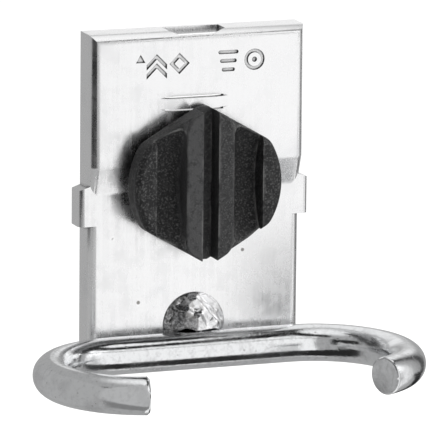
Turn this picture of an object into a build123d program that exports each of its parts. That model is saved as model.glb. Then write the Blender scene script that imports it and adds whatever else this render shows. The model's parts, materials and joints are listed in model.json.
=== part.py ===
"""Open ring holder: a bent round rod welded to a pressed steel plate, held on by a quarter-turn lock.

Millimetres. +Z is up, -Y is the front and the origin is where the lock axis meets the rear rim of
the plate, which is the plane that bears on the panel. The lock turns about Y.
"""
import os
from math import cos, radians, sin, tan

from build123d import *

# ---- mounting plate ----
sheet = 1.2  # steel thickness
plate_width = 36.0
plate_top = 24.0  # above the lock axis
plate_bottom = 29.2  # below the lock axis
low_depth = 3.6  # rear rim to the lower front face
step_forward = 1.6  # the upper face stands this far in front of the lower one
step_height = 4.4  # height over which the face steps
step_middle = 0.5
step_radius = 1.6  # bends at both ends of the step
bend_radius = 1.7  # outside of the bends round the face
ear_out = 1.35  # how far each side barb stands out
ear_top = 0.1
ear_height = 6.9
ear_shoulder = 1.1
ear_round = 1.0
land_radius = 10.8  # round land that carries the knob

# ---- notch and detent strip ----
notch_top_width = 9.4
notch_bottom_width = 5.6
notch_drop = 0.8  # below the top of the plate, at the bend
notch_rear_web = 0.9
strip_left = -5.7
strip_right = 4.1
strip_foot = 11.7  # above the lock axis
strip_height = 1.7
strip_rise = 0.8
strip_ramp = 1.3
strip_slit = 0.4  # open below the strip
strip_slit_above = 0.25

# ---- stamped marks ----
mark_depth = 0.3
mark_stroke = 0.6
mark_size = 3.4
mark_level = 18.9
arrow_start = 40.0
arrow_sweep = 230.0
arrow_head = 0.9
chevron_pitch = 1.45
chevron_arm = 0.85
diamond_band = 0.85
dot_radius = 0.42
first_marks = (-10.9, -7.1, -3.3)  # middles of the left group
second_marks = (4.9, 9.3)  # middles of the right group

# ---- ring ----
rod_diameter = 6.0
ring_half_length = 28.8  # lock plane to the middle of the rod at each end
ring_bend = 13.8  # bend radius at the middle of the rod
rod_level = -27.2
rod_gap = 0.05  # between rod and plate, closed by the welds
left_cut = 14.0  # degrees that each bend stops short of a half turn
right_cut = 26.0
rod_chamfer = 0.35
weld_radius = 5.2
weld_height = 3.3
weld_rise = 3.6  # middle of the upper weld above the middle of the rod
bead_radius = 1.0
bead_length = 14.0

# ---- lock ----
spindle_diameter = 6.0
running_clearance = 0.06
bush_wall = 1.2
bush_flange = 0.8
bush_flange_width = 1.6
bush_fit = 0.05
washer_thickness = 0.3
washer_diameter = 15.0
loose_clearance = 0.2  # washer and disc spring over the spindle
spring_height = 0.8
spring_sheet = 0.4
spring_diameter = 10.6
clip_thickness = 0.7
clip_diameter = 10.0
clip_mouth = 4.4
groove_depth = 0.5
panel_thickness = 1.5
panel_clearance = 0.4
bar_length = 20.0
bar_width = 7.0
bar_thickness = 2.4
drive_square = 4.4
fitted_clearance = 0.04
tail_diameter = 4.0
nut_across_flats = 7.0
nut_height = 2.2
tail_beyond_nut = 0.5

# ---- knob ----
knob_radius = 12.3
knob_flat = 11.0  # axis to each of the four flats
knob_flat_angle = 60.0  # of each flat's normal, from the horizontal
knob_corner = 3.0
knob_height = 5.2
knob_edge = 1.0  # rounding of the front edge
hub_radius = 10.2
hub_height = 1.25  # the rim of the knob stands this far off its back
ridge_rise = 0.45
ridge_outer = 4.0
ridge_edge = 0.35
coin_slot = 2.6
coin_slot_depth = 3.5
scoop_outer = 8.9
scoop_depth = 3.8
scoop_half_length = 9.6
scoop_foot = 1.2  # rounding where the ridge meets the scoop
head_across_flats = 7.0
head_height = 1.4

# ---- levels along Y, worked out from the sizes above ----
low_face = -low_depth
up_face = low_face - step_forward
knob_back = up_face - washer_thickness
knob_rim_back = knob_back - hub_height
knob_front = knob_back - knob_height
ridge_front = knob_front - ridge_rise
bush_back = up_face + sheet + bush_flange
spring_back = bush_back + spring_height
clip_back = spring_back + clip_thickness
bar_front = panel_thickness + panel_clearance
bar_back = bar_front + bar_thickness
nut_back = bar_back + nut_height
tail_end = nut_back + tail_beyond_nut
rod_line = low_face - rod_gap - rod_diameter / 2
spindle_radius = spindle_diameter / 2
bush_bore = spindle_radius + running_clearance
bush_radius = bush_bore + bush_wall

os.makedirs("parts", exist_ok=True)


def facing(level):
    """Plane square to the lock axis at a level along Y; it extrudes forward."""
    return Plane(origin=(0, level, 0), x_dir=(1, 0, 0), z_dir=(0, -1, 0))


def save(piece, name):
    """Label a finished piece and write it as one STEP file."""
    piece.part.label = name
    export_step(piece.part, f"parts/{name}.step")


# ---------------------------------------------------------------- mounting plate
def pan(inset):
    """Solid inside the front, top and sides of the pressed plate, drawn in by inset."""
    half = plate_width / 2 - inset
    top = plate_top - inset
    foot = -plate_bottom - inset
    back = inset
    slope_top = step_middle + step_height / 2
    slope_foot = step_middle - step_height / 2
    shift = inset * tan(radians(90 - Vector(step_forward, step_height).get_angle(Vector(1, 0))) / 2)
    low = low_face + inset
    up = up_face + inset
    with BuildPart() as block:
        with BuildSketch(Plane.YZ.offset(-half)) as side:
            with BuildLine():
                Polyline(
                    (back, foot),
                    (low, foot),
                    (low, slope_foot - shift),
                    (up, slope_top - shift),
                    (up, top),
                    (back, top),
                    close=True,
                )
            make_face()
            step_corners = side.vertices().filter_by_position(Axis.Y, slope_foot - sheet, slope_top + sheet)
            fillet(step_corners, step_radius)
        extrude(amount=2 * half)
        front_corners = block.edges().filter_by(lambda edge: abs(edge.center().X) > half - 0.01)
        front_corners = front_corners.filter_by(lambda edge: foot + 0.1 < edge.center().Z < top - 0.1)
        front_corners = front_corners.filter_by(lambda edge: edge.center().Y < back - 0.1)
        top_corner = block.edges().filter_by(Axis.X).group_by(Axis.Z)[-1].sort_by(Axis.Y)[0]
        fillet([*front_corners, top_corner], bend_radius - inset)
    return block.part


def ear_outline(inset):
    """Outline in X and Z of both side barbs, drawn in by inset; they are open at the foot."""
    half = plate_width / 2
    foot = ear_top - ear_height
    reach = half + ear_out - inset
    root = half - bend_radius
    for side in (-1, 1):
        Polygon(
            (side * root, foot),
            (side * reach, foot),
            (side * reach, ear_top - ear_shoulder - inset / 2),
            (side * root, ear_top - inset),
            align=None,
        )


def stamped_marks():
    """Five plain symbols: a turning arrow, a chevron, a diamond, a stack of bars, a ring with a dot."""
    half = mark_size / 2
    with Locations((first_marks[0], mark_level)):
        SlotArc(CenterArc((0, 0), half - mark_stroke / 2, arrow_start, arrow_sweep), mark_stroke)
    with Locations((first_marks[0] + half - mark_stroke, mark_level + half / 2)):
        RegularPolygon(arrow_head, 3, rotation=-30)
    for drop in (0.0, chevron_pitch):
        with Locations((first_marks[1], mark_level + half - drop)):
            Polygon(
                (0, 0),
                (half, -half),
                (half, -half - chevron_arm),
                (0, -chevron_arm),
                (-half, -half - chevron_arm),
                (-half, -half),
                align=None,
            )
    with Locations((first_marks[2], mark_level)):
        RegularPolygon(half, 4)
        RegularPolygon(half - diamond_band, 4, mode=Mode.SUBTRACT)
    for row in (-1, 0, 1):
        with Locations((second_marks[0], mark_level + row * (half - mark_stroke / 2))):
            SlotOverall(mark_size - abs(row - 1) * mark_stroke, mark_stroke)
    with Locations((second_marks[1], mark_level)):
        Circle(half)
        Circle(half - mark_stroke, mode=Mode.SUBTRACT)
        Circle(dot_radius)


with BuildPart() as mounting_plate:
    add(pan(0))
    with BuildSketch(facing(0)):
        ear_outline(0)
    ears = extrude(amount=low_depth, mode=Mode.PRIVATE)
    ear_corners = ears.edges().filter_by(Axis.Z).group_by(Axis.Y)[0]
    ear_corners = ear_corners.filter_by(lambda edge: abs(edge.center().X) > plate_width / 2)
    add(ears.fillet(ear_round, ear_corners))
    with BuildSketch(facing(low_face + sheet)):
        Circle(land_radius)
    extrude(amount=step_forward + sheet)
    add(pan(sheet), mode=Mode.SUBTRACT)
    with BuildSketch(facing(0)):
        ear_outline(sheet)
    extrude(amount=low_depth - sheet, mode=Mode.SUBTRACT)
    with BuildSketch(facing(0)):
        Circle(land_radius - sheet)
    extrude(amount=-up_face - sheet, mode=Mode.SUBTRACT)
    with BuildSketch(facing(0)):
        Circle(bush_radius + bush_fit)
    extrude(amount=-up_face, mode=Mode.SUBTRACT)
    # notch in the top bend and through the top flange, with a web left at the rear
    with BuildSketch(facing(-notch_rear_web)):
        Polygon(
            (-notch_top_width / 2, plate_top + sheet),
            (-notch_top_width / 2, plate_top),
            (-notch_bottom_width / 2, plate_top - notch_drop),
            (notch_bottom_width / 2, plate_top - notch_drop),
            (notch_top_width / 2, plate_top),
            (notch_top_width / 2, plate_top + sheet),
            align=None,
        )
    extrude(amount=-up_face, mode=Mode.SUBTRACT)
    with BuildSketch(Plane.XY.offset(plate_top - sheet)):
        with Locations((0, -notch_rear_web)):
            Rectangle(notch_top_width, -up_face - sheet - notch_rear_web, align=(Align.CENTER, Align.MAX))
    extrude(amount=sheet, mode=Mode.SUBTRACT)
    # opening above the lock with the raised strip across it
    with BuildSketch(facing(up_face + 2 * sheet)):
        with Locations(((strip_left + strip_right) / 2, strip_foot - strip_slit)):
            Rectangle(
                strip_right - strip_left,
                strip_slit + strip_height + strip_slit_above,
                align=(Align.CENTER, Align.MIN),
            )
    extrude(amount=3 * sheet, mode=Mode.SUBTRACT)
    with BuildSketch(Plane.XY.offset(strip_foot)):
        with BuildLine():
            Polyline(
                (strip_left - strip_rise, up_face),
                (strip_left + strip_ramp, up_face - strip_rise),
                (strip_right - strip_ramp, up_face - strip_rise),
                (strip_right + strip_rise, up_face),
                (strip_right + strip_rise, up_face + sheet),
                (strip_right - strip_ramp, up_face + sheet - strip_rise),
                (strip_left + strip_ramp, up_face + sheet - strip_rise),
                (strip_left - strip_rise, up_face + sheet),
                close=True,
            )
        make_face()
    extrude(amount=strip_height)
    with BuildSketch(facing(up_face + mark_depth)):
        stamped_marks()
    extrude(amount=2 * mark_depth, mode=Mode.SUBTRACT)
save(mounting_plate, "mounting_plate")

# ---------------------------------------------------------------- ring and its welds
bend_middle = ring_half_length - ring_bend
with BuildPart() as ring_rod:
    with BuildLine(Plane.XY.offset(rod_level)) as route:
        CenterArc((-bend_middle, rod_line - ring_bend), ring_bend, 270 - left_cut, left_cut - 180)
        Line((-bend_middle, rod_line), (bend_middle, rod_line))
        CenterArc((bend_middle, rod_line - ring_bend), ring_bend, 90, right_cut - 180)
    with BuildSketch(Plane(origin=route.wires()[0] @ 0, z_dir=route.wires()[0] % 0)):
        Circle(rod_diameter / 2)
    sweep(path=route.wires()[0])
    ends = ring_rod.faces().filter_by(GeomType.PLANE)
    chamfer(ends.edges(), rod_chamfer)
save(ring_rod, "ring_rod")

weld_ball = (weld_radius**2 + weld_height**2) / (2 * weld_height)
with BuildPart() as ring_weld_top:
    with Locations((0, low_face - weld_height + weld_ball, rod_level + weld_rise)):
        Sphere(weld_ball)
    split(bisect_by=Plane.XZ.offset(-low_face), keep=Keep.TOP)
    split(bisect_by=Plane.XY.offset(rod_level), keep=Keep.TOP)
    add(ring_rod.part, mode=Mode.SUBTRACT)
save(ring_weld_top, "ring_weld_top")

with BuildPart() as ring_weld_bottom:
    with Locations((0, low_face - bead_radius / 2, -plate_bottom)):
        Cylinder(bead_radius, bead_length, rotation=(0, 90, 0))
    with Locations(*[(end * bead_length / 2, low_face - bead_radius / 2, -plate_bottom) for end in (-1, 1)]):
        Sphere(bead_radius)
    add(ring_rod.part, mode=Mode.SUBTRACT)
    add(mounting_plate.part, mode=Mode.SUBTRACT)
save(ring_weld_bottom, "ring_weld_bottom")

# ---------------------------------------------------------------- bearing of the lock
with BuildPart() as guide_bush:
    with BuildSketch(facing(bush_back)):
        Circle(bush_radius + bush_flange_width)
    extrude(amount=bush_flange)
    with BuildSketch(facing(bush_back)):
        Circle(bush_radius)
    extrude(amount=bush_flange + sheet)
    with BuildSketch(facing(bush_back)):
        Circle(bush_bore)
    extrude(amount=bush_flange + sheet, mode=Mode.SUBTRACT)
save(guide_bush, "guide_bush")

with BuildPart() as bearing_washer:
    with BuildSketch(facing(up_face)):
        Circle(washer_diameter / 2)
        Circle(spindle_radius + loose_clearance, mode=Mode.SUBTRACT)
    extrude(amount=washer_thickness)
save(bearing_washer, "bearing_washer")

with BuildPart() as disc_spring:
    with BuildSketch(Plane.XY):
        with BuildLine():
            Polyline(
                (spring_diameter / 2, bush_back),
                (spring_diameter / 2, bush_back + spring_sheet),
                (spindle_radius + loose_clearance, spring_back),
                (spindle_radius + loose_clearance, spring_back - spring_sheet),
                close=True,
            )
        make_face()
    revolve(axis=Axis.Y)
save(disc_spring, "disc_spring")

with BuildPart() as retaining_clip:
    with BuildSketch(facing(clip_back)):
        Circle(clip_diameter / 2)
        Circle(spindle_radius - groove_depth + fitted_clearance, mode=Mode.SUBTRACT)
        Rectangle(clip_mouth, clip_diameter, align=(Align.CENTER, Align.MAX), mode=Mode.SUBTRACT)
    extrude(amount=clip_thickness)
save(retaining_clip, "retaining_clip")

# ---------------------------------------------------------------- spindle, bar and nut
with BuildPart() as lock_spindle:
    with BuildSketch(facing(knob_back)):
        RegularPolygon(head_across_flats / 2, 6, major_radius=False, rotation=30)
    extrude(amount=head_height)
    with BuildSketch(facing(bar_front)):
        Circle(spindle_radius)
    extrude(amount=bar_front - knob_back)
    with BuildSketch(facing(clip_back)):
        Circle(spindle_radius)
        Circle(spindle_radius - groove_depth, mode=Mode.SUBTRACT)
    extrude(amount=clip_thickness, mode=Mode.SUBTRACT)
    with BuildSketch(facing(bar_back)):
        Rectangle(drive_square, drive_square)
    extrude(amount=bar_thickness)
    with BuildSketch(facing(tail_end)):
        Circle(tail_diameter / 2)
    extrude(amount=tail_end - bar_back)
    chamfer(lock_spindle.faces().sort_by(Axis.Y)[-1].edges(), tail_beyond_nut / 2)
save(lock_spindle, "lock_spindle")

with BuildPart() as lock_bar:
    with BuildSketch(facing(bar_back)):
        SlotOverall(bar_length, bar_width, rotation=90)
        Rectangle(
            drive_square + 2 * fitted_clearance,
            drive_square + 2 * fitted_clearance,
            mode=Mode.SUBTRACT,
        )
    extrude(amount=bar_thickness)
save(lock_bar, "lock_bar")

with BuildPart() as lock_nut:
    with BuildSketch(facing(nut_back)):
        RegularPolygon(nut_across_flats / 2, 6, major_radius=False)
        Circle(tail_diameter / 2 + fitted_clearance, mode=Mode.SUBTRACT)
    extrude(amount=nut_height)
save(lock_nut, "lock_nut")


# ---------------------------------------------------------------- knob
def knob_plan():
    """Round outline with four flats that meet in a blunt V at the top and at the foot."""
    Circle(knob_radius)
    for angle in (knob_flat_angle, 180 - knob_flat_angle, 180 + knob_flat_angle, -knob_flat_angle):
        middle = knob_flat + knob_radius / 2
        with Locations((middle * cos(radians(angle)), middle * sin(radians(angle)))):
            Rectangle(knob_radius, 3 * knob_radius, rotation=angle, mode=Mode.SUBTRACT)


scoop_radius = (scoop_half_length**2 + scoop_depth**2) / (2 * scoop_depth)
scoop_width = scoop_outer - ridge_outer
with BuildPart() as knob:
    with BuildSketch(facing(knob_rim_back)) as rim_plan:
        knob_plan()
        fillet(rim_plan.vertices().filter_by(lambda corner: abs(corner.X) > ridge_outer), knob_corner)
    extrude(amount=knob_rim_back - knob_front)
    fillet(knob.faces().sort_by(Axis.Y)[0].edges(), knob_edge)
    with BuildSketch(facing(knob_back)):
        Circle(hub_radius)
    extrude(amount=hub_height)
    with BuildSketch(facing(knob_front + knob_edge)) as ridge_plan:
        knob_plan()
        Rectangle(2 * ridge_outer, 3 * knob_radius, mode=Mode.INTERSECT)
        fillet(ridge_plan.vertices().filter_by(lambda corner: abs(corner.X) > coin_slot), knob_corner)
    ridges = extrude(amount=ridge_rise + knob_edge, mode=Mode.PRIVATE)
    ridge_top = ridges.faces().sort_by(Axis.Y)[0].edges()
    add(ridges.fillet(ridge_edge, ridge_top))
    with BuildSketch(facing(ridge_front)):
        Rectangle(coin_slot, 3 * knob_radius)
    extrude(amount=-coin_slot_depth, mode=Mode.SUBTRACT)
    for side in (-1, 1):
        start = ridge_outer if side > 0 else -scoop_outer
        with BuildSketch(Plane(origin=(start, knob_front, 0), x_dir=(0, 1, 0), z_dir=(1, 0, 0))):
            with Locations((scoop_depth - scoop_radius, 0)):
                Circle(scoop_radius)
        scoop = extrude(amount=scoop_width, mode=Mode.PRIVATE)
        foot_edge = scoop.edges().filter_by(GeomType.CIRCLE).sort_by(Axis.X)[0 if side > 0 else -1]
        add(scoop.fillet(scoop_foot, [foot_edge]), mode=Mode.SUBTRACT)
    with BuildSketch(facing(knob_back)):
        RegularPolygon(head_across_flats / 2 + fitted_clearance, 6, major_radius=False, rotation=30)
    extrude(amount=head_height + fitted_clearance, mode=Mode.SUBTRACT)
save(knob, "knob")
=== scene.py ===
"""Looks for the open ring holder: plated pressing, welded ring, textured knob and its lock."""

import json
from math import cos, radians, sin

import bmesh
import bpy
from mathutils import Matrix, Vector, noise


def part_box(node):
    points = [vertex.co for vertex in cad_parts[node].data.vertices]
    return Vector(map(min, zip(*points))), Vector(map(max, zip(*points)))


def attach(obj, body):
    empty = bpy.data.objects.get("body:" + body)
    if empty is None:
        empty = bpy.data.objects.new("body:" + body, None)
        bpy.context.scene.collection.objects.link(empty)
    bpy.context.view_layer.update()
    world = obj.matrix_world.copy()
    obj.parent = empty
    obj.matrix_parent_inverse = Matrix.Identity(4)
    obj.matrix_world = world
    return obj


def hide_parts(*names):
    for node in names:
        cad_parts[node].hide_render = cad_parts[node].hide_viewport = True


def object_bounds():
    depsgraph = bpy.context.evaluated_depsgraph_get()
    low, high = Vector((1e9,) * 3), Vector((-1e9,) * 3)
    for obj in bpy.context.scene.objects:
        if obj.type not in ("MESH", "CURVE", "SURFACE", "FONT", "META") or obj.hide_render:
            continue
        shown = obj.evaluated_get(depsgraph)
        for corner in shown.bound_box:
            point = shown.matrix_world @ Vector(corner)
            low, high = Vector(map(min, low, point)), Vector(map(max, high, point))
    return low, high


MM = 0.001

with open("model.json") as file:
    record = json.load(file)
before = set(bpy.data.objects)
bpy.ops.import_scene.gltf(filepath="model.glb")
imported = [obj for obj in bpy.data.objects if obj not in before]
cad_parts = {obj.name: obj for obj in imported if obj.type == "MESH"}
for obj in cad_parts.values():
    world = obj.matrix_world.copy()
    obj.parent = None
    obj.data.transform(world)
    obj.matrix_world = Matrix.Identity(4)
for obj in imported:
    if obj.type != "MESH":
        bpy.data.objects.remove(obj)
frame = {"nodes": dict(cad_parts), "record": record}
cad_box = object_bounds()
record = frame["record"]
scene = bpy.context.scene


# ------------------------------------------------------------------ materials
class Nodes:
    """Node tree of a new material, on Object coordinates."""

    def __init__(self, name):
        self.material = bpy.data.materials.new(name)
        self.material.use_nodes = True
        self.nodes = self.material.node_tree.nodes
        self.links = self.material.node_tree.links
        self.place = self.nodes.new("ShaderNodeTexCoord").outputs["Object"]

    def feed(self, socket, value):
        """Links what feeds a socket, or sets it where it is the same all over."""
        if isinstance(value, bpy.types.NodeSocket):
            self.links.new(value, socket)
        else:
            socket.default_value = value

    def math(self, operation, first, second=0.0):
        node = self.nodes.new("ShaderNodeMath")
        node.operation = operation
        self.feed(node.inputs[0], first)
        self.feed(node.inputs[1], second)
        return node.outputs[0]

    def vector_math(self, operation, first, second=(0, 0, 0)):
        node = self.nodes.new("ShaderNodeVectorMath")
        node.operation = operation
        self.feed(node.inputs[0], first)
        self.feed(node.inputs[1], second)
        return node

    def split(self, vector):
        """The X, Y and Z of a vector."""
        node = self.nodes.new("ShaderNodeSeparateXYZ")
        self.links.new(vector, node.inputs[0])
        return node.outputs

    def remap(self, value, low, high, to_low=0.0, to_high=1.0):
        """Eases from one number to another while the value goes from low to high."""
        node = self.nodes.new("ShaderNodeMapRange")
        node.interpolation_type = "SMOOTHSTEP"
        limits = {"From Min": low, "From Max": high, "To Min": to_low, "To Max": to_high}
        for socket, number in limits.items():
            node.inputs[socket].default_value = number
        self.links.new(value, node.inputs["Value"])
        return node.outputs["Result"]


class Finish(Nodes):
    """A Principled material, built up one layer at a time."""

    def __init__(self, name, color, metallic, roughness, **sockets):
        super().__init__(name)
        self.shader = self.nodes["Principled BSDF"]
        self.color = (*color, 1.0)
        self.roughness = roughness
        self.height = None
        self.shader.inputs["Metallic"].default_value = metallic
        for socket, value in sockets.items():
            self.shader.inputs[socket.replace("_", " ")].default_value = value

    def scaled(self, scale):
        """Object coordinates, scaled along each axis."""
        node = self.nodes.new("ShaderNodeMapping")
        node.inputs["Scale"].default_value = scale
        self.links.new(self.place, node.inputs["Vector"])
        return node.outputs[0]

    def grain(self, size, detail=3.0, roughness=0.5, scale=(1, 1, 1)):
        """Noise whose lumps are about size metres across."""
        node = self.nodes.new("ShaderNodeTexNoise")
        node.inputs["Scale"].default_value = 1 / size
        node.inputs["Detail"].default_value = detail
        node.inputs["Roughness"].default_value = roughness
        self.links.new(self.scaled(scale), node.inputs["Vector"])
        return node.outputs["Fac"]

    def cells(self, size):
        """Distance to the nearest of many points that lie about size metres apart."""
        node = self.nodes.new("ShaderNodeTexVoronoi")
        node.inputs["Scale"].default_value = 1 / size
        self.links.new(self.place, node.inputs["Vector"])
        return node.outputs["Distance"]

    def across(self):
        """Place from left to right, in metres."""
        return self.split(self.place)["X"]

    def edges(self, reach):
        """One near outside edges and 0 on flats."""
        node = self.nodes.new("ShaderNodeBevel")
        node.samples = 4
        node.inputs["Radius"].default_value = reach
        flat = self.nodes.new("ShaderNodeNewGeometry")
        bend = self.vector_math("DOT_PRODUCT", node.outputs["Normal"], flat.outputs["Normal"])
        flat_cosine, edge_cosine = 0.995, 0.85
        return self.remap(bend.outputs["Value"], flat_cosine, edge_cosine)

    def hollows(self, reach):
        """One deep in grooves, slits and inside corners, and 0 in the open."""
        node = self.nodes.new("ShaderNodeAmbientOcclusion")
        node.samples = 8
        node.only_local = True
        node.inputs["Distance"].default_value = reach
        in_the_open, closed_in = 0.88, 0.42
        return self.remap(node.outputs["AO"], in_the_open, closed_in)

    def stain(self, color, amount):
        """Mixes a colour over what is there by an amount from 0 to 1."""
        node = self.nodes.new("ShaderNodeMix")
        node.data_type = "RGBA"
        factor, below, over = node.inputs[0], node.inputs[6], node.inputs[7]
        self.feed(below, self.color)
        over.default_value = (*color, 1.0)
        self.links.new(amount, factor)
        self.color = node.outputs[2]

    def roughen(self, amount):
        self.roughness = self.math("ADD", self.roughness, amount)

    def raise_by(self, amount):
        """Adds to the height, in metres."""
        self.height = amount if self.height is None else self.math("ADD", self.height, amount)

    def done(self):
        self.feed(self.shader.inputs["Base Color"], self.color)
        self.feed(self.shader.inputs["Roughness"], self.roughness)
        if self.height is not None:
            bump = self.nodes.new("ShaderNodeBump")
            bump.inputs["Strength"].default_value = 1.0
            bump.inputs["Distance"].default_value = 1.0
            self.links.new(self.height, bump.inputs["Height"])
            self.links.new(bump.outputs["Normal"], self.shader.inputs["Normal"])
        return self.material


def plated_sheet():
    """Bright plating over rolled sheet: upright lines, clouding, a few specks and painted shade in the
    grooves, slits and inside corners.
    """
    finish = Finish("plated_sheet", (0.93, 0.93, 0.935), 1.0, 0.25)
    rolling = finish.grain(0.0005, 4.0, 0.6, scale=(1, 1, 0.03))
    clouds = finish.grain(0.011, 3.0, 0.55)
    handling = finish.grain(0.0035, 5.0, 0.65)
    specks = finish.remap(finish.cells(0.0042), 0.09, 0.05)
    thinned = finish.math("MULTIPLY", specks, finish.remap(finish.grain(0.006), 0.54, 0.6))
    finish.stain((0.74, 0.75, 0.77), finish.remap(clouds, 0.55, 0.78, 0.0, 0.45))
    finish.stain((0.30, 0.29, 0.28), thinned)
    # Painted shade: near black where ambient occlusion finds grooves, slits and inside corners.
    finish.stain((0.04, 0.04, 0.04), finish.hollows(0.0011))
    finish.roughen(finish.remap(handling, 0.35, 0.75, -0.04, 0.10))
    finish.roughen(finish.remap(rolling, 0.3, 0.7, -0.03, 0.04))
    finish.raise_by(finish.math("MULTIPLY", rolling, 0.0000012))
    finish.raise_by(finish.math("MULTIPLY", clouds, 0.00003))
    return finish.done()


def ring_steel():
    """Polished plated bar: mottled, with dull patches and small pits."""
    finish = Finish("ring_steel", (0.84, 0.85, 0.86), 1.0, 0.10)
    clouds = finish.grain(0.006, 4.0, 0.6)
    mottle = finish.grain(0.0010, 5.0, 0.7)
    pits = finish.remap(finish.cells(0.0019), 0.12, 0.05)
    finish.stain((0.55, 0.55, 0.56), finish.remap(clouds, 0.52, 0.75, 0.0, 0.5))
    finish.stain((0.35, 0.34, 0.33), finish.math("MULTIPLY", pits, 0.5))
    finish.roughen(finish.remap(clouds, 0.4, 0.7, 0.0, 0.12))
    finish.roughen(finish.remap(mottle, 0.45, 0.75, 0.0, 0.10))
    finish.stain((0.62, 0.62, 0.63), finish.remap(mottle, 0.46, 0.66, 0.0, 0.45))
    finish.raise_by(finish.math("MULTIPLY", mottle, 0.000022))
    finish.raise_by(finish.math("MULTIPLY", pits, -0.000010))
    return finish.done()


def weld_metal():
    """Plated weld metal: fine lumps with dark scale on them, and painted shade on the left flank."""
    finish = Finish("weld_metal", (0.86, 0.86, 0.87), 1.0, 0.14)
    lumps = finish.grain(0.0016, 4.0, 0.6)
    fine = finish.grain(0.0005, 3.0, 0.6)
    finish.stain((0.30, 0.29, 0.28), finish.remap(lumps, 0.47, 0.70, 0.0, 0.8))
    # Painted shade: darkens the left flank, in patches.
    left_flank = finish.remap(finish.across(), -0.0004, -0.0026)
    painted_left_shade = finish.math("MULTIPLY", left_flank, finish.remap(fine, 0.35, 0.60, 0.25, 0.9))
    finish.stain((0.11, 0.11, 0.11), painted_left_shade)
    finish.roughen(finish.remap(lumps, 0.4, 0.7, -0.05, 0.16))
    finish.raise_by(finish.math("MULTIPLY", lumps, 0.00009))
    finish.raise_by(finish.math("MULTIPLY", fine, 0.00003))
    return finish.done()


def knob_plastic():
    """Black moulding with a fine spark-eroded texture, a patchy painted highlight along its edges, and
    paler ridge faces, most on the left.
    """
    finish = Finish("knob_plastic", (0.007, 0.007, 0.0075), 0.0, 0.46, Specular_IOR_Level=0.26)
    stipple = finish.grain(0.00030, 2.0, 0.6)
    mottle = finish.grain(0.0011, 3.0, 0.6)
    # Painted highlight: a lighter colour along the edges, broken into patches.
    edge_highlight_patches = finish.remap(finish.grain(0.0045, 3.0, 0.6), 0.42, 0.62)
    painted_edge_highlight = finish.math("MULTIPLY", finish.edges(0.0006), edge_highlight_patches)
    finish.stain((0.070, 0.070, 0.070), finish.remap(stipple, 0.46, 0.74, 0.0, 0.9))
    finish.stain((0.026, 0.026, 0.026), finish.remap(mottle, 0.48, 0.70, 0.0, 0.6))
    # Ridge faces paler than the scoops, more so on the left side.
    ridges = finish.remap(finish.math("ABSOLUTE", finish.across()), 0.0047, 0.0039)
    left_more = finish.remap(finish.across(), 0.0016, -0.0016, 0.45, 1.0)
    ridge_paling = finish.math("MULTIPLY", left_more, finish.remap(mottle, 0.30, 0.60, 0.35, 0.9))
    finish.stain((0.042, 0.042, 0.043), finish.math("MULTIPLY", ridges, ridge_paling))
    finish.stain((0.12, 0.12, 0.118), painted_edge_highlight)
    finish.roughen(finish.remap(mottle, 0.3, 0.7, -0.06, 0.10))
    finish.raise_by(finish.math("MULTIPLY", stipple, 0.00007))
    finish.raise_by(finish.math("MULTIPLY", mottle, 0.00005))
    return finish.done()


def bush_plastic():
    """Natural acetal with a slight moulding haze."""
    acetal = (0.80, 0.79, 0.74)
    finish = Finish("bush_plastic", acetal, 0.0, 0.38, Subsurface_Weight=0.08, Subsurface_Scale=0.0006)
    haze = finish.grain(0.002, 3.0, 0.5)
    finish.stain((0.68, 0.66, 0.60), finish.remap(haze, 0.45, 0.7, 0.0, 0.5))
    finish.roughen(finish.remap(haze, 0.3, 0.7, -0.05, 0.08))
    finish.raise_by(finish.math("MULTIPLY", haze, 0.00001))
    return finish.done()


def lock_steel():
    """Zinc-plated turned and blanked steel with a crystalline bloom."""
    finish = Finish("lock_steel", (0.66, 0.67, 0.69), 1.0, 0.30)
    bloom = finish.grain(0.0009, 4.0, 0.6)
    tool = finish.grain(0.00025, 2.0, 0.5, scale=(1, 0.1, 1))
    finish.stain((0.44, 0.44, 0.46), finish.remap(bloom, 0.45, 0.72, 0.0, 0.6))
    finish.roughen(finish.remap(bloom, 0.3, 0.7, -0.06, 0.14))
    finish.raise_by(finish.math("MULTIPLY", tool, 0.000004))
    return finish.done()


def spring_steel():
    """Rolled spring steel with darker temper clouding."""
    finish = Finish("spring_steel", (0.46, 0.46, 0.47), 1.0, 0.26)
    temper = finish.grain(0.003, 3.0, 0.6)
    finish.stain((0.26, 0.25, 0.26), finish.remap(temper, 0.40, 0.70, 0.0, 0.7))
    finish.roughen(finish.remap(temper, 0.3, 0.7, -0.05, 0.12))
    finish.raise_by(finish.math("MULTIPLY", temper, 0.000006))
    return finish.done()


finishes = {
    make.__name__: make()
    for make in (plated_sheet, ring_steel, weld_metal, knob_plastic, bush_plastic, lock_steel, spring_steel)
}
slot_of = {part["node"]: part["material_slot"] for part in record["subparts"]}
body_of = {node: body for body, members in record["behaviour"]["bodies"].items() for node in members}


# ------------------------------------------------------------------ pieces
def new_piece(name, shape):
    """Object at the origin from a bmesh, which is used up."""
    mesh = bpy.data.meshes.new(name)
    shape.to_mesh(mesh)
    shape.free()
    piece = bpy.data.objects.new(name, mesh)
    scene.collection.objects.link(piece)
    return piece


def shade(piece, angle):
    """Smooth shading that keeps edges sharper than angle, in degrees."""
    for face in piece.data.polygons:
        face.use_smooth = True
    piece.data.set_sharp_from_angle(angle=radians(angle))


def stand_in(piece, node):
    """Gives a finished piece its finish and body, and hides the CAD node it stands in for."""
    piece.data.materials.clear()
    piece.data.materials.append(finishes[slot_of[node]])
    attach(piece, body_of[node])
    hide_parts(node)


def merged_copy(node):
    """The node's own shape with its triangles joined."""
    shape = bmesh.new()
    shape.from_mesh(frame["nodes"][node].data)
    bmesh.ops.remove_doubles(shape, verts=shape.verts, dist=0.002 * MM)
    bmesh.ops.dissolve_limit(
        shape, angle_limit=radians(0.4), verts=shape.verts, edges=shape.edges, delimit={"NORMAL"}
    )
    return shape


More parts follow.
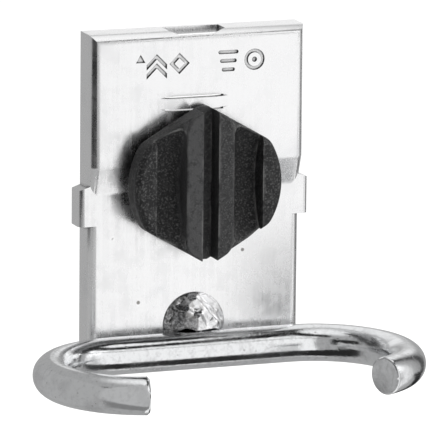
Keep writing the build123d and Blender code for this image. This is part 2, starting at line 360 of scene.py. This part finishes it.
def softened(node, width, sharper_than=32):
    """Copy of a CAD node whose edges sharper than so many degrees are broken by width."""
    piece = new_piece("visible_" + node, merged_copy(node))
    bevel = piece.modifiers.new("broken_edges", "BEVEL")
    bevel.width = width
    bevel.segments = 3
    bevel.limit_method = "ANGLE"
    bevel.angle_limit = radians(sharper_than)
    bevel.use_clamp_overlap = True
    bevel.harden_normals = False
    shade(piece, angle=38)
    flats = piece.modifiers.new("true_flats", "WEIGHTED_NORMAL")
    flats.mode = "FACE_AREA"
    flats.weight = 100
    flats.keep_sharp = True
    stand_in(piece, node)


def lumpy_weld(node, depth):
    """Copy of a weld that has run and frozen in lumps, none of them proud of the CAD shape."""
    longest_edge = 0.35 * MM
    lumps_per_metre, lump_share = 420, 1.1
    ripples_per_metre, ripple_share = 900, 0.12
    lumps_shift = Vector((3.1, 0, 7.7))
    fade_at_foot, fade_at_plate = 1.2 * MM, 0.8 * MM
    shape = merged_copy(node)
    bmesh.ops.triangulate(shape, faces=shape.faces)
    for _ in range(3):
        long_edges = [edge for edge in shape.edges if edge.calc_length() > longest_edge]
        bmesh.ops.subdivide_edges(shape, edges=long_edges, cuts=1, use_grid_fill=True)
        bmesh.ops.triangulate(shape, faces=shape.faces)
    shape.normal_update()
    low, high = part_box(node)
    for vert in shape.verts:
        lump = noise.noise(vert.co * lumps_per_metre + lumps_shift) * lump_share
        lump += noise.noise(vert.co * ripples_per_metre) * ripple_share
        dent = min(max(0.5 - lump, 0.0), 1.0)
        free = min(1.0, (vert.co.z - low.z) / fade_at_foot, (high.y - vert.co.y) / fade_at_plate)
        vert.co -= vert.normal * depth * dent * max(free, 0.0)
    piece = new_piece("visible_" + node, shape)
    shade(piece, angle=70)
    stand_in(piece, node)


softened("mounting_plate", 0.10 * MM)
softened("knob", 0.16 * MM)
softened("ring_rod", 0.10 * MM, sharper_than=50)
lumpy_weld("ring_weld_top", 0.80 * MM)
softened("ring_weld_bottom", 0.10 * MM)
softened("guide_bush", 0.12 * MM)
softened("bearing_washer", 0.04 * MM)
softened("disc_spring", 0.05 * MM)
softened("retaining_clip", 0.06 * MM)
softened("lock_spindle", 0.12 * MM)
softened("lock_bar", 0.20 * MM)
softened("lock_nut", 0.14 * MM)


# ------------------------------------------------------------------ camera
def view_axes(azimuth, elevation, roll):
    """Right, up and backward axes of a camera; azimuth 0 looks along +Y."""
    a, e, r = radians(azimuth), radians(elevation), radians(roll)
    right = Vector((cos(a), sin(a), 0))
    up = Vector((-sin(a) * sin(e), cos(a) * sin(e), cos(e)))
    back = Vector((sin(a) * cos(e), -cos(a) * cos(e), sin(e)))
    return right * cos(r) + up * sin(r), up * cos(r) - right * sin(r), back


def facing(target, azimuth, elevation, roll, distance):
    """Place and turn of a camera or lamp that looks at the target from a distance."""
    right, up, back = view_axes(azimuth, elevation, roll)
    turn = Matrix((right, up, back)).transposed().to_4x4()
    return Matrix.Translation(target + back * distance) @ turn


camera_angles = (-20.6, 11.8, 0.57)
camera_distance = 1.0
view_across = 70.4762 * MM
sensor_width = 36.0
target_right_of_foot = 3.52 * MM
target_above_foot = 20.27 * MM

camera = bpy.data.objects.new("camera", bpy.data.cameras.new("camera"))
scene.collection.objects.link(camera)
scene.camera = camera
ring_low, ring_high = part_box("ring_rod")
rod_radius = (ring_high.z - ring_low.z) / 2
ring_foot = Vector((0, ring_high.y - rod_radius, (ring_low.z + ring_high.z) / 2))
view_right, view_up, _ = view_axes(*camera_angles)
camera_target = ring_foot + view_right * target_right_of_foot + view_up * target_above_foot
camera.matrix_world = facing(camera_target, *camera_angles, camera_distance)
camera.data.sensor_width = sensor_width
camera.data.lens = sensor_width * camera_distance / view_across
camera.data.clip_start = 0.01
camera.data.clip_end = 20.0


# ------------------------------------------------------------------ floor, light tent and lamps
tent_middle = Vector((0, -0.015, -0.003))
tent_radius = 0.090
tent_cloth_glow = 0.40
# azimuth from and to, elevation from and to, softness of the edges, all in degrees, then the glow
tent_panels = (
    (-400, 400, 62, 100, 30, 0.95),
    (-2, 82, -100, 100, 8, 1.0),
    (-95, -33, -14, 26, 6, 0.015),
    (58, 68, -40, 50, 8, 0.55),
    (100, 112, -30, 30, 6, 0.03),
    (-10, 120, 25.5, 28.5, 1.5, 0.05),
    (-30, 120, 41, 60, 2, 0.01),
    (118, 180, 0, 50, 12, 0.92),
)


def tent_glow():
    """Cloth that glows by its azimuth from the front, right of it positive, and its elevation."""
    cloth = Nodes("tent_cloth")
    outward = cloth.vector_math("SUBTRACT", cloth.place, tent_middle).outputs[0]
    way = cloth.split(cloth.vector_math("NORMALIZE", outward).outputs[0])
    azimuth = cloth.math("DEGREES", cloth.math("ARCTAN2", way["X"], cloth.math("MULTIPLY", way["Y"], -1.0)))
    elevation = cloth.math("DEGREES", cloth.math("ARCSINE", way["Z"]))

    def between(value, low, high, soft):
        """One between low and high, falling to 0 over soft degrees."""
        middle, half = (low + high) / 2, (high - low) / 2
        off_middle = cloth.math("ABSOLUTE", cloth.math("SUBTRACT", value, middle))
        return cloth.remap(off_middle, half + soft / 2, half - soft / 2)

    glow = tent_cloth_glow
    for left, right, low, high, soft, level in tent_panels:
        in_azimuth = between(azimuth, left, right, soft)
        in_elevation = between(elevation, low, high, soft)
        patch = cloth.math("MULTIPLY", in_azimuth, in_elevation)
        kept = cloth.math("MULTIPLY", cloth.math("SUBTRACT", 1.0, patch), glow)
        glow = cloth.math("ADD", kept, cloth.math("MULTIPLY", patch, level))
    shader = cloth.nodes.new("ShaderNodeEmission")
    cloth.links.new(glow, shader.inputs["Strength"])
    cloth.links.new(shader.outputs[0], cloth.nodes["Material Output"].inputs["Surface"])
    cloth.nodes.remove(cloth.nodes["Principled BSDF"])
    return cloth.material


def pale(name, color, glow):
    """Matt stage cloth or card that glows a little."""
    finish = Finish(name, color, 0.0, 0.9, Specular_IOR_Level=0.0, Emission_Strength=glow)
    finish.shader.inputs["Emission Color"].default_value = (1.0, 1.0, 1.0, 1.0)
    finish.roughen(finish.remap(finish.grain(0.05), 0.3, 0.7, -0.02, 0.02))
    return finish.done()


def only_in_reflections(piece):
    piece.visible_camera = False
    piece.visible_diffuse = False
    piece.visible_shadow = False
    piece.visible_transmission = False


def light_tent():
    """Pale tent that shows only in what is glossy."""
    shape = bmesh.new()
    bmesh.ops.create_uvsphere(shape, u_segments=64, v_segments=32, radius=tent_radius)
    bmesh.ops.translate(shape, verts=shape.verts, vec=tent_middle)
    piece = new_piece("light_tent", shape)
    piece.data.materials.append(tent_glow())
    only_in_reflections(piece)


def card(name, tone, low, high):
    """Thin card that fills the box between two corners and shows only in what is glossy."""
    shape = bmesh.new()
    bmesh.ops.create_cube(shape, size=1.0)
    low, high = Vector(low), Vector(high)
    bmesh.ops.scale(shape, verts=shape.verts, vec=high - low)
    bmesh.ops.translate(shape, verts=shape.verts, vec=(low + high) / 2)
    piece = new_piece(name, shape)
    piece.data.materials.append(pale(name + "_tone", (0.01, 0.01, 0.01), tone))
    only_in_reflections(piece)


def floor():
    """Pale floor well under the ring."""
    reach, drop = 6.0, 0.06
    shape = bmesh.new()
    bmesh.ops.create_grid(shape, x_segments=1, y_segments=1, size=reach)
    bmesh.ops.translate(shape, verts=shape.verts, vec=(0, 0, cad_box[0].z - drop))
    piece = new_piece("floor", shape)
    piece.data.materials.append(pale("pale_floor", (0.90, 0.90, 0.90), 0.15))
    piece.visible_glossy = False


def soft_lamp(name, azimuth, elevation, distance, width, strength, in_reflections):
    """Square area lamp that faces the object."""
    lamp = bpy.data.lights.new(name, "AREA")
    lamp.shape = "RECTANGLE"
    lamp.size = width
    lamp.size_y = width
    lamp.energy = strength
    piece = bpy.data.objects.new(name, lamp)
    scene.collection.objects.link(piece)
    piece.matrix_world = facing(Vector((0, 0, 0)), azimuth, elevation, 0, distance)
    piece.visible_glossy = in_reflections


def studio_world():
    """Even white light all round, kept out of reflections."""
    world = bpy.data.worlds.new("studio")
    world.use_nodes = True
    background = world.node_tree.nodes["Background"]
    background.inputs["Color"].default_value = (1.0, 1.0, 1.0, 1.0)
    background.inputs["Strength"].default_value = 1.0
    world.cycles_visibility.glossy = False
    scene.world = world


light_tent()
card("dark_card", 0.01, (-0.014, -0.0235, -0.0385), (0.075, -0.0115, -0.038))
card("left_front_card", 0.50, (-0.060, -0.0390, -0.0315), (-0.013, -0.0385, -0.013))
card("left_front_card_low", 0.22, (-0.060, -0.0390, -0.060), (-0.013, -0.0385, -0.0315))
card("left_side_card", 0.42, (-0.0365, -0.0385, -0.045), (-0.0360, -0.004, -0.013))
card("right_grey_card", 0.60, (0.025, -0.043, -0.060), (0.060, -0.042, -0.020))
floor()
soft_lamp("key", 62, 30, 0.6, 0.2, 1.6, in_reflections=True)
soft_lamp("fill", 5, 15, 0.8, 0.5, 0.8, in_reflections=False)
studio_world()
scene.view_settings.view_transform = "Standard"
